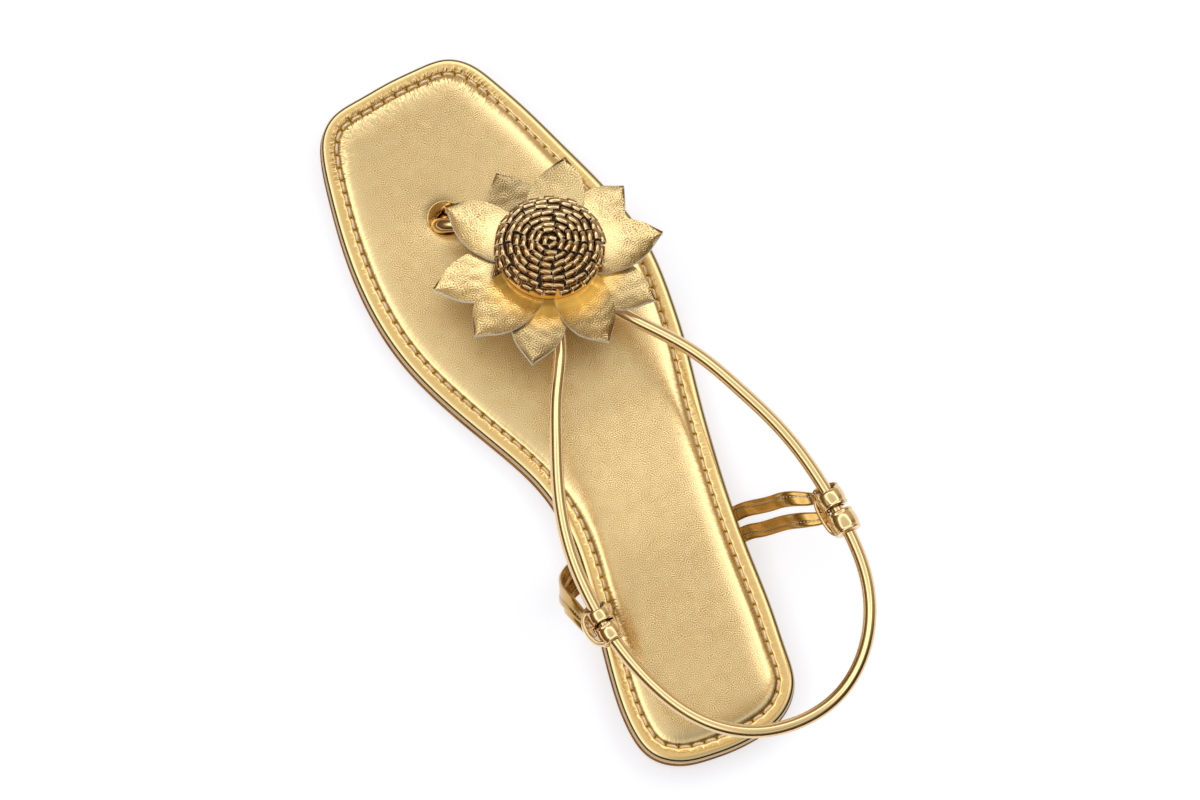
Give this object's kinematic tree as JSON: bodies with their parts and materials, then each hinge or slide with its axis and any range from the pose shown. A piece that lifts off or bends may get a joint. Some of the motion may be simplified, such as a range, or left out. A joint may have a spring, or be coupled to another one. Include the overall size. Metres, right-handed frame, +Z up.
{
  "type": "flat sandal",
  "caption": "Flat square-toe right sandal: padded stitched footbed, rolled cord strap from a toe post round the heel, hitched ankle loops, layered leather flower with a beaded centre.",
  "frame": {"origin": "on the floor under the sole's mid-line, half way along the foot, at the flat forefoot tread", "axes": "+Y from the heel to the toe, +X to the outer (lateral) side of the foot, +Z up"},
  "size_m": [0.107, 0.2556, 0.0521],
  "materials": {
    "brown_sole": "smooth brown sole rubber with a satin cut edge",
    "gold_leather": "crinkled metallic gold foil leather",
    "gold_cord_leather": "smooth polished metallic gold leather, rolled",
    "petal_foil_leather": "grained metallic gold foil leather with raw cut edges",
    "bronze_bead": "glossy metallic bronze beads"
  },
  "bodies": {
    "root": {"outsole": "brown_sole", "heel_lift": "brown_sole", "midsole": "gold_leather", "insole": "gold_leather", "strap_cord": "gold_cord_leather", "ankle_loop_medial": "gold_cord_leather", "ankle_loop_lateral": "gold_cord_leather", "petals_lower": "petal_foil_leather", "petals_upper": "petal_foil_leather", "flower_drum": "gold_leather", "bead_pad": "bronze_bead"}
  },
  "joints": []
}
